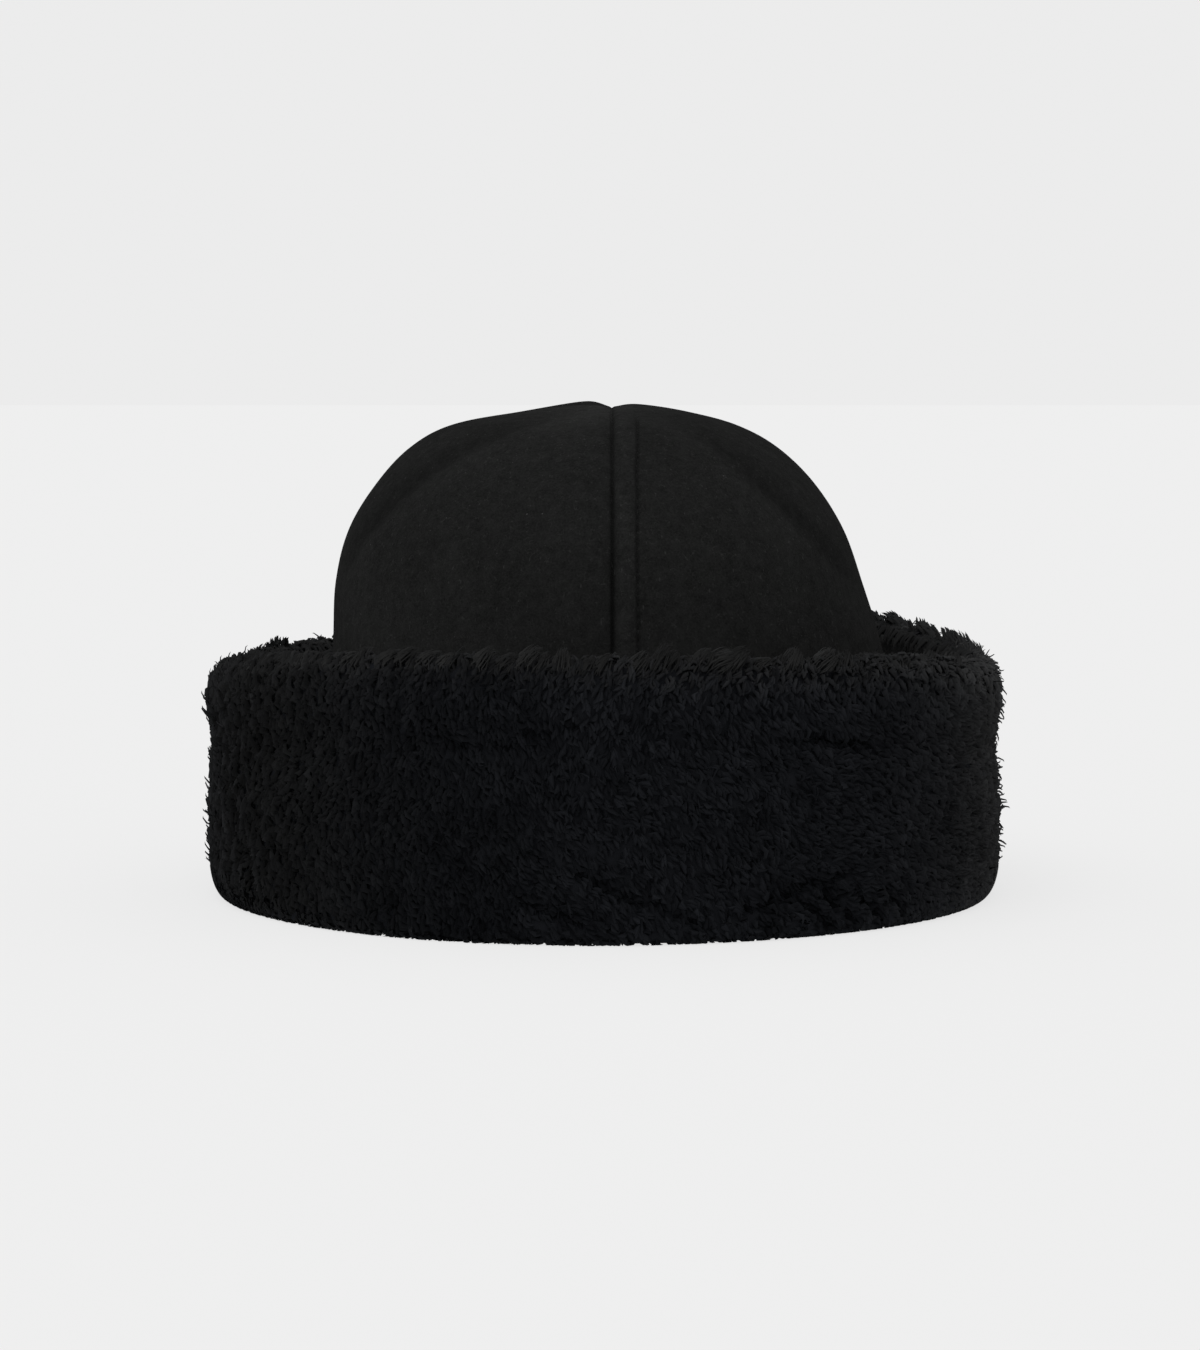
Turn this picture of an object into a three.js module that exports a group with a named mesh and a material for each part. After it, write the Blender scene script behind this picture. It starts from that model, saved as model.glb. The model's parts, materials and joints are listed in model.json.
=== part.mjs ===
// A cuffed fur cap at its real size, in millimetres, +Z up, front towards -Y.
// Four suede panels make the dome. A hide folds up round its base and carries the wool pile of the cuff.
import * as THREE from 'three';

// Driving dimensions
const crownWall = 2.4;
const hideWall = 2.0;
const gap = 0.3;
const seamCentreX = 2.5;
const crownFootHeight = 9;
const baseHalfWidth = 101;
const baseHalfDepth = 113;
const rimHeightFront = 87.5;
const cuffStandOff = 20.7;
const hideRimDrop = 3.4;

// How finely the walls are faceted
const crownRings = 14;
const panelColumnDegrees = [0, 3, 9, 19, 31, 44, 57, 69, 78, 83, 85.2, 87.4, 89, 90];
const cuffSegments = 56;

// The dome in level sections from its foot to its top. The four widths are measured from the point
// where the seams cross: to the left and right silhouettes, and to the front and back.
const crownSections = [
  { height: crownFootHeight, left: 103.5, right: 98.5, front: 113, back: 113 },
  { height: 36, left: 99.8, right: 97.2, front: 109.5, back: 110 },
  { height: 62, left: 96.4, right: 95.4, front: 106, back: 107 },
  { height: 84, left: 95.0, right: 91.8, front: 102.6, back: 104.2 },
  { height: 105.5, left: 93.5, right: 84.7, front: 98.2, back: 100.6 },
  { height: 123.5, left: 88.4, right: 77.8, front: 91.2, back: 94.6 },
  { height: 139, left: 78.7, right: 67.6, front: 80.6, back: 84.4 },
  { height: 150.5, left: 67.6, right: 55.2, front: 67, back: 71 },
  { height: 157.6, left: 54.0, right: 41.6, front: 51, back: 55 },
  { height: 161.6, left: 32.0, right: 26.4, front: 31.5, back: 34.5 },
  { height: 163.4, left: 16.5, right: 12.8, front: 15.4, back: 16.8 },
  { height: 164, left: 0, right: 0, front: 0, back: 0 },
];

// Soft dents of the dome. Bearings are measured on one panel, from its side seam (0) towards the
// centre seam (90), at the dent's low and high end, and the dent runs evenly between them.
const crownDents = [
  { panel: 'front_left', lowZ: 108, lowBearing: 11, highZ: 160, highBearing: 64, depth: 2.6, halfWidth: 8 },
  { panel: 'front_right', lowZ: 108, lowBearing: 22, highZ: 156, highBearing: 50, depth: 2.0, halfWidth: 7 },
  { panel: 'back_left', lowZ: 96, lowBearing: 30, highZ: 152, highBearing: 52, depth: 2.0, halfWidth: 9 },
  { panel: 'back_right', lowZ: 100, lowBearing: 24, highZ: 158, highBearing: 60, depth: 2.2, halfWidth: 8 },
];
const dentEndFade = 3;

// Relief beside the seams
const ditchDepth = 1.5;
const ditchHalfWidth = 2.4;
const lobeRise = { front: { left: 1.2, right: 0.6 }, back: { left: 2.6, right: 1.4 } };
const lobeSeamReach = 5;
const lobeSpread = 20;
const allowanceWidth = 7.9;
const allowanceRise = 0.7;
const allowanceEdge = 0.8;
const topstitchDepth = 0.6;
const topstitchHalfWidth = 0.9;
const allowanceTop = 160;

// The cuff's section, as offsets out from the base ellipse and heights. The share says how much of
// a change in the rim's height a row follows. The hide's rows run along its inner face.
const hideSection = [
  { out: 0, height: 8.7, share: 0 },
  { out: 2.4, height: 7.0, share: 0 },
  { out: 7.4, height: 6.4, share: 0 },
  { out: 13.6, height: 7.2, share: 0 },
  { out: 18.6, height: 10.8, share: 0 },
  { out: cuffStandOff, height: 17, share: 0.05 },
  { out: cuffStandOff, height: 42, share: 0.4 },
  { out: cuffStandOff, height: 64, share: 0.75 },
  { out: cuffStandOff, height: rimHeightFront - hideRimDrop, share: 1 },
];
const furSection = [
  { out: 1.2, height: 2.4, share: 0 },
  { out: 2.2, height: 0.7, share: 0 },
  { out: 4.2, height: 0, share: 0 },
  { out: 27.0, height: 0, share: 0 },
  { out: 30.4, height: 1.0, share: 0 },
  { out: 32.7, height: 3.8, share: 0 },
  { out: 33.5, height: 9.0, share: 0 },
  { out: 33.7, height: 18, share: 0.1 },
  { out: 33.6, height: 32, share: 0.35 },
  { out: 33.3, height: 44, share: 0.5 },
  { out: 33.0, height: 53, share: 0.6 },
  { out: 33.0, height: 60, share: 0.7 },
  { out: 33.6, height: 67, share: 0.85 },
  { out: 34.4, height: 74, share: 1 },
  { out: 33.8, height: 80.5, share: 1 },
  { out: 31.4, height: 85.2, share: 1 },
  { out: 28.0, height: rimHeightFront, share: 1 },
  { out: 24.6, height: rimHeightFront - 1, share: 1 },
];

// Heights round the cuff every 45 degrees, from the right side (0) by the back (90): the top of the
// pile at the rim, and the long level crease across the pile with its depth.
const rimStations = [
  { bearing: 0, rim: 79, crease: 53, depth: 1.6 },
  { bearing: 45, rim: 86, crease: 56, depth: 0.8 },
  { bearing: 90, rim: 87, crease: 58, depth: 0.6 },
  { bearing: 135, rim: 79.5, crease: 55, depth: 0.8 },
  { bearing: 180, rim: 77.5, crease: 51, depth: 1.6 },
  { bearing: 225, rim: 86.5, crease: 56, depth: 2.6 },
  { bearing: 270, rim: rimHeightFront, crease: 63, depth: 2.8 },
  { bearing: 315, rim: 86, crease: 59, depth: 3.0 },
];
const creaseHalfHeight = 7;

const suede = { color: 0x1b1b1b, roughness: 0.95, metalness: 0 };
const wool = { color: 0x0e0f11, roughness: 1, metalness: 0 };

const radians = (degrees) => (degrees * Math.PI) / 180;
const bell = (distance, halfWidth) => Math.exp(-((distance / halfWidth) ** 2));
const step = (value, edge, softness) => 1 / (1 + Math.exp(-(value - edge) / softness));

// A cubic through four evenly spaced values, between the two in the middle.
function cubic(before, from, to, after, at) {
  const slopeFrom = (to - before) / 2;
  const slopeTo = (after - from) / 2;
  const rise = to - from;
  const bend = 3 * rise - 2 * slopeFrom - slopeTo;
  const twist = slopeFrom + slopeTo - 2 * rise;
  return from + at * (slopeFrom + at * (bend + at * twist));
}

// One column of the dome's table at a row position. Past the top the widths turn negative, so that
// the dome closes with a level tangent, and past the foot the wall runs straight on.
function crownValue(column, position) {
  const last = crownSections.length - 1;
  const low = Math.min(Math.floor(position), last - 1);
  const value = (row) => {
    if (row > last) {
      return column === 'height' ? crownSections[last - 1].height : -crownSections[last - 1][column];
    }
    if (row < 0) {
      return 2 * crownSections[0][column] - crownSections[1][column];
    }
    return crownSections[row][column];
  };
  return cubic(value(low - 1), value(low), value(low + 1), value(low + 2), position - low);
}

// One column of the rim's table at a bearing, all the way round.
function rimValue(column, bearing) {
  const count = rimStations.length;
  const position = (((bearing % 360) + 360) % 360) / (360 / count);
  const low = Math.floor(position);
  const value = (row) => rimStations[(row + count) % count][column];
  return cubic(value(low - 1), value(low), value(low + 1), value(low + 2), position - low);
}

// A point of one quarter of the dome before its relief, as an ellipse section at the given row
// position, measured from the point where the seams cross.
function domePoint(side, end, bearing, position) {
  const across = side === 'left' ? -1 : 1;
  const along = end === 'front' ? -1 : 1;
  return new THREE.Vector3(
    across * Math.max(crownValue(side, position) - gap / 2, 0) * Math.cos(radians(bearing)),
    along * Math.max(crownValue(end, position) - gap / 2, 0) * Math.sin(radians(bearing)),
    crownValue('height', position),
  );
}

// The outward direction there, from the differences between near points.
function domeNormal(side, end, bearing, position) {
  const top = crownSections.length - 1;
  if (position >= top) {
    return new THREE.Vector3(0, 0, 1);
  }
  const small = 0.01;
  const at = (turned, raised) => domePoint(side, end, bearing + turned, Math.max(position + raised, 0));
  const round = at(small, 0).sub(at(-small, 0));
  const up = at(0, small).sub(at(0, -small));
  const normal = round.cross(up);
  const here = at(0, 0);
  if (normal.x * here.x + normal.y * here.y < 0) {
    normal.negate();
  }
  if (position === 0) {
    normal.z = 0;
  }
  return normal.normalize();
}

// How far the surface stands out from the plain dome: the seam ditches, the lobes between them
// near the top, the raised seam allowance and the soft dents.
function domeRelief(side, end, bearing, point) {
  const fromCentreSeam = Math.abs(point.x);
  const fromSideSeam = Math.abs(point.y);
  const nearestSeam = Math.min(fromCentreSeam, fromSideSeam);
  let relief = -ditchDepth * bell(nearestSeam, ditchHalfWidth);
  const lobe = (1 - bell(fromCentreSeam, lobeSeamReach)) * (1 - bell(fromSideSeam, lobeSeamReach));
  relief += lobeRise[end][side] * lobe * bell(Math.hypot(point.x, point.y), lobeSpread);
  if (side === 'right' && end === 'front') {
    const pastDitch = step(fromCentreSeam, ditchHalfWidth, allowanceEdge);
    const beforeStitch = step(-fromCentreSeam, -allowanceWidth, allowanceEdge);
    const stitched = bell(fromCentreSeam - allowanceWidth, topstitchHalfWidth);
    const strip = allowanceRise * pastDitch * beforeStitch - topstitchDepth * stitched;
    relief += strip * step(-point.z, -allowanceTop, 1);
  }
  const dent = crownDents.find((row) => row.panel === `${end}_${side}`);
  const along = (point.z - dent.lowZ) / (dent.highZ - dent.lowZ);
  const centre = dent.lowBearing + along * (dent.highBearing - dent.lowBearing);
  const distance = radians(bearing - centre) * Math.hypot(point.x, point.y);
  const ends = step(point.z, dent.lowZ, dentEndFade) * step(-point.z, -dent.highZ, dentEndFade);
  return relief - dent.depth * bell(distance, dent.halfWidth) * ends;
}

function meshGeometry(points, triangles) {
  const geometry = new THREE.BufferGeometry();
  const places = points.flatMap((point) => point.toArray());
  geometry.setAttribute('position', new THREE.Float32BufferAttribute(places, 3));
  geometry.setIndex(triangles.flat());
  geometry.computeVertexNormals();
  return geometry;
}

// One quarter of the dome as a closed wall: an outer and an inner skin on the same grid, joined
// along the foot and both seams. All columns meet in one point at the top.
function panelGeometry(side, end) {
  const columns = panelColumnDegrees.length;
  const top = crownSections.length - 1;
  const corner = new THREE.Vector3(
    seamCentreX + (side === 'left' ? -gap / 2 : gap / 2),
    end === 'front' ? -gap / 2 : gap / 2,
    0,
  );
  const points = [];
  for (const depth of [0, crownWall]) {
    for (let ring = 0; ring <= crownRings; ring += 1) {
      const position = (top * ring) / crownRings;
      for (const bearing of ring === crownRings ? [0] : panelColumnDegrees) {
        const point = domePoint(side, end, bearing, position);
        const normal = domeNormal(side, end, bearing, position);
        const relief = domeRelief(side, end, bearing, point);
        points.push(point.addScaledVector(normal, relief - depth).add(corner));
      }
    }
  }
  const skin = points.length / 2;
  const at = (ring, column) => (ring === crownRings ? skin - 1 : ring * columns + column);
  const triangles = [];
  const quad = (a, b, c, d) => triangles.push([a, b, c], [a, c, d]);
  for (let ring = 0; ring < crownRings; ring += 1) {
    for (let column = 0; column < columns - 1; column += 1) {
      const low = [at(ring, column), at(ring, column + 1)];
      const high = [at(ring + 1, column + 1), at(ring + 1, column)];
      const outer = ring < crownRings - 1 ? [...low, ...high] : [...low, high[0]];
      const inner = outer.map((index) => index + skin).reverse();
      for (const face of [outer, inner]) {
        triangles.push(face.slice(0, 3));
        if (face.length === 4) {
          triangles.push([face[0], face[2], face[3]]);
        }
      }
    }
    quad(at(ring, 0), at(ring + 1, 0), at(ring + 1, 0) + skin, at(ring, 0) + skin);
    const edge = columns - 1;
    quad(at(ring + 1, edge), at(ring, edge), at(ring, edge) + skin, at(ring + 1, edge) + skin);
  }
  for (let column = 0; column < columns - 1; column += 1) {
    quad(at(0, column + 1), at(0, column), at(0, column) + skin, at(0, column + 1) + skin);
  }
  const mirrored = (side === 'left') === (end === 'front');
  return meshGeometry(points, mirrored ? triangles : triangles.map((t) => [...t].reverse()));
}

// The hide's rows moved out of the channel by a distance, square to its section.
function alongHide(distance) {
  return hideSection.map((row, index) => {
    const before = hideSection[Math.max(index - 1, 0)];
    const after = hideSection[Math.min(index + 1, hideSection.length - 1)];
    const run = new THREE.Vector2(after.out - before.out, after.height - before.height).normalize();
    const end = index === 0 || index === hideSection.length - 1;
    const square = end ? new THREE.Vector2(Math.sign(index - 0.5), 0) : new THREE.Vector2(run.y, -run.x);
    return {
      out: row.out + square.x * distance,
      height: row.height + square.y * distance,
      share: row.share,
    };
  });
}

// A ring round the base ellipse with one closed section, whose rows follow the rim's height. The
// crease presses only into the outside rows.
function ringGeometry(section) {
  const points = [];
  for (let segment = 0; segment < cuffSegments; segment += 1) {
    const bearing = (360 * segment) / cuffSegments;
    const change = rimValue('rim', bearing) - rimHeightFront;
    for (const row of section) {
      const height = row.height + row.share * change;
      const crease = bell(height - rimValue('crease', bearing), creaseHalfHeight);
      const out = row.out - (row.outside ? rimValue('depth', bearing) * crease : 0);
      points.push(
        new THREE.Vector3(
          (baseHalfWidth + out) * Math.cos(radians(bearing)),
          (baseHalfDepth + out) * Math.sin(radians(bearing)),
          height,
        ),
      );
    }
  }
  const rows = section.length;
  const triangles = [];
  for (let segment = 0; segment < cuffSegments; segment += 1) {
    const next = (segment + 1) % cuffSegments;
    for (let row = 0; row < rows; row += 1) {
      const above = (row + 1) % rows;
      const here = [segment * rows + row, segment * rows + above];
      const there = [next * rows + row, next * rows + above];
      triangles.push([here[0], there[0], there[1]], [here[0], there[1], here[1]]);
    }
  }
  return meshGeometry(points, triangles);
}

function piece(name, geometry, finish) {
  const mesh = new THREE.Mesh(geometry, new THREE.MeshStandardMaterial(finish));
  mesh.name = name;
  return mesh;
}

const cap = new THREE.Group();
for (const end of ['front', 'back']) {
  for (const side of ['left', 'right']) {
    cap.add(piece(`crown_panel_${end}_${side}`, panelGeometry(side, end), suede));
  }
}

const hideRing = [...alongHide(hideWall), ...alongHide(0).reverse()];
cap.add(piece('cuff_hide', ringGeometry(hideRing), suede));

const furOutside = furSection.map((row) => ({ ...row, outside: true }));
const furRing = [...furOutside, ...alongHide(hideWall + gap).reverse()];
cap.add(piece('cuff_fur', ringGeometry(furRing), wool));

// The footprint is centred and the base stands at height 0.
const extent = new THREE.Box3().setFromObject(cap);
const middle = extent.getCenter(new THREE.Vector3());
cap.position.set(-middle.x, -middle.y, -extent.min.z);

export default cap;
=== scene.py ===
"""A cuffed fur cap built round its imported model: a seamed suede crown in a turned-up cuff of black wool pile.

Shapes are worked out in millimetres and put into the meshes in metres, with +Z up and the front towards -Y.
"""
import json
import math

import bpy
import numpy as np
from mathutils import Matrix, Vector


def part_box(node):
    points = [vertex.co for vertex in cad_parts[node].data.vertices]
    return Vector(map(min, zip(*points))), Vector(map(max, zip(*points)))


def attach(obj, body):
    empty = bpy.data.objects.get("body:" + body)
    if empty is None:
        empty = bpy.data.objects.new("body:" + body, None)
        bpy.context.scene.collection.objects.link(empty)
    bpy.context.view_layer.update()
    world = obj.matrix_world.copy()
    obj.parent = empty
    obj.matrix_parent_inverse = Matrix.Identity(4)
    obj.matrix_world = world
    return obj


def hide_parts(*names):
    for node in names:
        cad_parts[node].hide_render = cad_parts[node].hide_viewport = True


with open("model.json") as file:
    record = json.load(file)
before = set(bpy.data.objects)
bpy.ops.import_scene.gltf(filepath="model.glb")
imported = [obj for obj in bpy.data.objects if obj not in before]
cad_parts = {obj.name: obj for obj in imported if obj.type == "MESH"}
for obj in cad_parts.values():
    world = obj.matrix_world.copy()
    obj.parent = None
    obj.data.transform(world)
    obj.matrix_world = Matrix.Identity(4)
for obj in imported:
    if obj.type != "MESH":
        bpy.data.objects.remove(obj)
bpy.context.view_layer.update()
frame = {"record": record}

MM = 0.001

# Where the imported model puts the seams' crossing and the middle of the cuff, in millimetres
front_left_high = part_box("crown_panel_front_left")[1]
front_right_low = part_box("crown_panel_front_right")[0]
back_left_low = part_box("crown_panel_back_left")[0]
hide_low, hide_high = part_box("cuff_hide")
SEAM_X = (front_left_high.x + front_right_low.x) / 2 / MM
SEAM_Y = (front_left_high.y + back_left_low.y) / 2 / MM
SEAM_GAP = 0.004
CUFF_X = (hide_low.x + hide_high.x) / 2 / MM
CUFF_Y = (hide_low.y + hide_high.y) / 2 / MM

# The dome in level sections: height, then the widths from the seams' crossing to left, right, front and back
CROWN_COLUMNS = {"height": 0, "left": 1, "right": 2, "front": 3, "back": 4}
CROWN_SECTIONS = np.array([
    (9, 103.5, 98.5, 113, 113),
    (36, 99.8, 97.2, 109.5, 110),
    (62, 96.4, 95.4, 106, 107),
    (84, 95.0, 91.8, 102.6, 104.2),
    (105.5, 93.5, 84.7, 98.2, 100.6),
    (123.5, 88.4, 77.8, 91.2, 94.6),
    (139, 78.7, 67.6, 80.6, 84.4),
    (150.5, 67.6, 55.2, 67, 71),
    (157.6, 54.0, 41.6, 51, 55),
    (161.6, 32.0, 26.4, 31.5, 34.5),
    (163.4, 16.5, 12.8, 15.4, 16.8),
    (164, 0, 0, 0, 0),
])
CROWN_WALL = 2.4

# Soft dents of the dome: heights and bearings along the middle line, depth, half width towards the centre
# seam and towards the side, and how much painted shade lies in it
CROWN_DENTS = {
    "front_left": (
        (108, 120, 132, 142, 150, 157, 161), (15.5, 21.5, 29.5, 36.5, 45, 54, 60), 1.2, 6.5, 14, 0.3,
    ),
    "front_right": ((108, 119.5, 136.8, 150.2, 154), (22, 31, 43, 49, 51), 1.0, 6, 10, 0.27),
    "back_left": ((96, 152), (30, 52), 1.2, 10, 12, 0.14),
    "back_right": ((100, 158), (24, 60), 1.2, 9, 12, 0.14),
}
DENT_END_FADE = 3

# Painted highlights on the nap, and one small patch of painted shade: bearing and height of the middle,
# half widths of both, how much lighter
NAP_PAINTED_LIGHT = {
    "front_left": [
        (22, 92, 26, 20, 0.3),
        (40, 86, 30, 14, 0.26),
        (76, 161.5, 26, 4, 0.34),
        (45, 164.5, 60, 3.5, 0.5),
        (68, 152, 28, 10, 0.13),
        (3, 122, 10, 30, 0.22),
        (57, 95, 11, 13, 0.1),
        (80, 84, 10, 14, -0.06),
    ],
    "front_right": [(72, 161.5, 16, 4, 0.16), (45, 164.5, 60, 2.5, 0.35), (68, 86, 24, 13, 0.14)],
    "back_left": [(20, 90, 20, 20, 0.15)],
    "back_right": [(60, 158, 20, 6, 0.15)],
}
LOFT = 1.3

# Relief beside the seams, and the stitches, which start at a row position of the dome's table
DITCH_DEPTH, DITCH_HALF_WIDTH, DITCH_START = 0.9, 2.0, 42
CLEFT_DEPTH, CLEFT_HALF_WIDTH = 1.3, 0.5
LOBE_RISE = {"front_left": 1.2, "front_right": 0.6, "back_left": 2.6, "back_right": 1.4}
LOBE_SEAM_REACH, LOBE_SPREAD = 5, 20
ALLOWANCE_WIDTH, ALLOWANCE_RISE, ALLOWANCE_EDGE, ALLOWANCE_TOP = 7.9, 0.8, 0.4, 160
TOPSTITCH_DEPTH, TOPSTITCH_HALF_WIDTH = 1.2, 0.6
STITCH_LENGTH, STITCH_PITCH, STITCH_RADIUS = 3.1, 3.7, 0.22
STITCH_START = 2.6

# The suede's tone: a slightly cool black, and how much lighter the bare hide of the cuff is painted, a
# painted light that lifts it out of the shade of the crown and the rim
SUEDE_TINT = (0.975, 0.99, 0.99)
HIDE_PAINTED_LIGHT = 1.9
LINT_TURNS = [(0.3, 0.9, 0.2), (0.5, -0.6, 1.1), (1.2, 0.2, 0.6), (0.1, 1.5, 0.4)]

# The cuff's base ellipse, and its section as offsets out from that ellipse with heights. The share says
# how much of a change in the rim's height a row follows, and the inset how far inside it the roots lie.
BASE_HALF_WIDTH, BASE_HALF_DEPTH = 101, 113
CUFF_LENGTH = 880
RIM_FRONT = 87.5
HIDE_WALL, PIECE_GAP = 2.0, 0.3
HIDE_ROWS = np.array([
    (0, 8.7, 0),
    (2.4, 7.0, 0),
    (7.4, 6.4, 0),
    (13.6, 7.2, 0),
    (18.6, 10.8, 0),
    (20.7, 17, 0.05),
    (20.7, 42, 0.4),
    (20.7, 64, 0.75),
    (20.7, 84.1, 1),
])
PILE_ROWS = np.array([
    (1.2, 2.4, 0, 0.1),
    (2.2, 0.7, 0, 0.3),
    (4.2, 0, 0, 0.4),
    (27.2, 0, 0, 0.3),
    (30.2, 0.8, 0, 0.3),
    (32.2, 3.6, 0, 0.8),
    (33.3, 9.0, 0, 1.7),
    (33.7, 18, 0.1, 2.3),
    (33.6, 32, 0.35, 2.4),
    (33.3, 44, 0.5, 2.4),
    (33.0, 53, 0.6, 2.4),
    (33.0, 60, 0.7, 2.4),
    (33.6, 67, 0.85, 2.4),
    (34.4, 74, 1, 2.6),
    (33.8, 80.5, 1, 2.6),
    (31.4, 85.2, 1, 2.2),
    (28.0, 87.5, 1, 1.7),
    (24.6, 86.8, 1, 0.8),
])

# Every 45 degrees round the cuff from the right side: rim height, height of the level crease, its depth
RIM_STATIONS = np.array([
    (79, 53, 1.0),
    (87.5, 56, 0.8),
    (88, 58, 0.6),
    (81, 55, 0.8),
    (77.5, 51, 0.6),
    (86.5, 56, 1.0),
    (87.5, 63, 1.2),
    (86, 59, 1.5),
])
CREASE_HALF_HEIGHT = 7
DEEPEST_ROOT = 7.5


def bell(distance, half_width):
    """One in the middle and falling off evenly: e to the minus square of distance over half width."""
    return np.exp(-((distance / half_width) ** 2))


def step(value, edge, softness):
    """From zero below the edge to one above it, along a logistic curve."""
    return 1 / (1 + np.exp(-np.clip((value - edge) / softness, -60, 60)))


def unit(vectors):
    """Vectors divided by their lengths."""
    return vectors / np.maximum(np.linalg.norm(vectors, axis=-1, keepdims=True), 1e-12)


def bells(rows, bearing):
    """The sum of each row's change times a bell of the bearing. A row holds the bell's middle, its half
    width and the change."""
    return sum(change * bell(bearing - middle, half_turn) for middle, half_turn, change in rows)


def curve_through(knots, values, at):
    """A smooth curve through a table: between two rows a cubic, whose slope at each row is that of the
    straight line through the rows on its two sides."""
    knots = np.asarray(knots, float)
    values = np.asarray(values, float)
    slopes = np.empty_like(values)
    slopes[1:-1] = (values[2:] - values[:-2]) / (knots[2:] - knots[:-2])
    slopes[0] = (values[1] - values[0]) / (knots[1] - knots[0])
    slopes[-1] = (values[-1] - values[-2]) / (knots[-1] - knots[-2])
    low = np.clip(np.searchsorted(knots, at, side="right") - 1, 0, len(knots) - 2)
    width = knots[low + 1] - knots[low]
    share = (at - knots[low]) / width
    rise = values[low + 1] - values[low]
    bend = 3 * rise - (2 * slopes[low] + slopes[low + 1]) * width
    twist = (slopes[low] + slopes[low + 1]) * width - 2 * rise
    return values[low] + share * (slopes[low] * width + share * (bend + share * twist))


def lumps(seed, around, along, cells_around, cells_along):
    """Soft lumps from -1 to 1: random heights on a lattice that closes on itself all the way round, with
    smooth steps between neighbours. Both places run from 0 to 1."""
    heights = np.random.default_rng(seed).uniform(-1, 1, (cells_around, cells_along + 2))
    across = (around % 1) * cells_around
    up = np.clip(along, 0, 1) * cells_along
    column = np.floor(across).astype(int)
    row = np.floor(up).astype(int)
    east = across - column
    north = up - row
    east = east * east * (3 - 2 * east)
    north = north * north * (3 - 2 * north)
    here, there = column % cells_around, (column + 1) % cells_around
    low = heights[here, row] * (1 - east) + heights[there, row] * east
    high = heights[here, row + 1] * (1 - east) + heights[there, row + 1] * east
    return low * (1 - north) + high * north


def add_object(name, data):
    """A new object in the scene."""
    thing = bpy.data.objects.new(name, data)
    bpy.context.collection.objects.link(thing)
    return thing


def make_piece(name, points, triangles, finish, maps=None, tone=None, normals=None):
    """A closed, smooth piece from points in millimetres and triangles as rows of three point numbers.
    The winding is turned round if the signed volume is negative. maps holds named maps with a place for
    each corner, tone a grey or a colour for each point, and normals a direction to shade each point by."""
    maps = maps or {}
    corner = points[triangles]
    volume = np.einsum("ij,ij->i", corner[:, 0], np.cross(corner[:, 1], corner[:, 2])).sum()
    if volume < 0:
        triangles = triangles[:, ::-1]
        maps = {title: places[:, ::-1] for title, places in maps.items()}
    mesh = bpy.data.meshes.new(name)
    mesh.vertices.add(len(points))
    mesh.vertices.foreach_set("co", (points * MM).astype(np.float32).ravel())
    mesh.loops.add(triangles.size)
    mesh.loops.foreach_set("vertex_index", np.ascontiguousarray(triangles, np.int32).ravel())
    mesh.polygons.add(len(triangles))
    mesh.polygons.foreach_set("loop_start", np.arange(0, triangles.size, 3, dtype=np.int32))
    mesh.polygons.foreach_set("use_smooth", np.ones(len(triangles), bool))
    for title, places in maps.items():
        layer = mesh.uv_layers.new(name=title)
        layer.data.foreach_set("uv", np.ascontiguousarray(places, np.float32).ravel())
    if tone is not None:
        layer = mesh.attributes.new("tone", "FLOAT_COLOR", "POINT")
        colours = np.ones((len(points), 4))
        colours[:, :3] = tone.reshape(len(points), -1)
        layer.data.foreach_set("color", colours.astype(np.float32).ravel())
    mesh.materials.append(finish)
    mesh.update()
    mesh.validate()
    if normals is not None:
        mesh.normals_split_custom_set_from_vertices(normals.astype(np.float32))
    piece = add_object(name, mesh)
    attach(piece, "root")
    return piece


def grid_corners(rows, columns):
    """The two triangles of every cell of a grid, each corner as its row and column."""
    row, column = np.meshgrid(np.arange(rows - 1), np.arange(columns - 1), indexing="ij")
    row, column = row.ravel(), column.ravel()
    first = np.stack([np.stack([row, row, row + 1], 1), np.stack([column, column + 1, column + 1], 1)], 2)
    second = np.stack([np.stack([row, row + 1, row + 1], 1), np.stack([column, column + 1, column], 1)], 2)
    return np.concatenate([first, second])


def real_triangles(number):
    """Which rows of three point numbers name three different points."""
    return (number[:, 0] != number[:, 1]) & (number[:, 1] != number[:, 2]) & (number[:, 0] != number[:, 2])


def crown_value(column, position):
    """One column of the dome's table at a row position. Beyond the foot the wall runs straight on, and
    beyond the top the widths turn negative, so that the dome closes level."""
    values = CROWN_SECTIONS[:, CROWN_COLUMNS[column]]
    beyond = values[-2] if column == "height" else -values[-2]
    padded = np.concatenate([[2 * values[0] - values[1]], values, [beyond]])
    return curve_through(np.arange(-1, len(values) + 1), padded, position)


def dome_point(panel, bearing, position):
    """A level quarter ellipse: width times the bearing's cosine to the side, depth times its sine to the
    front or back, and the height of the row. Measured from the point where the seams cross."""
    end, side = panel.split("_")
    width = np.maximum(crown_value(side, position) - SEAM_GAP / 2, 0)
    depth = np.maximum(crown_value(end, position) - SEAM_GAP / 2, 0)
    angle = np.radians(bearing)
    x = (-1 if side == "left" else 1) * width * np.cos(angle)
    y = (-1 if end == "front" else 1) * depth * np.sin(angle)
    return np.stack(np.broadcast_arrays(x, y, crown_value("height", position)), -1)


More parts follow.
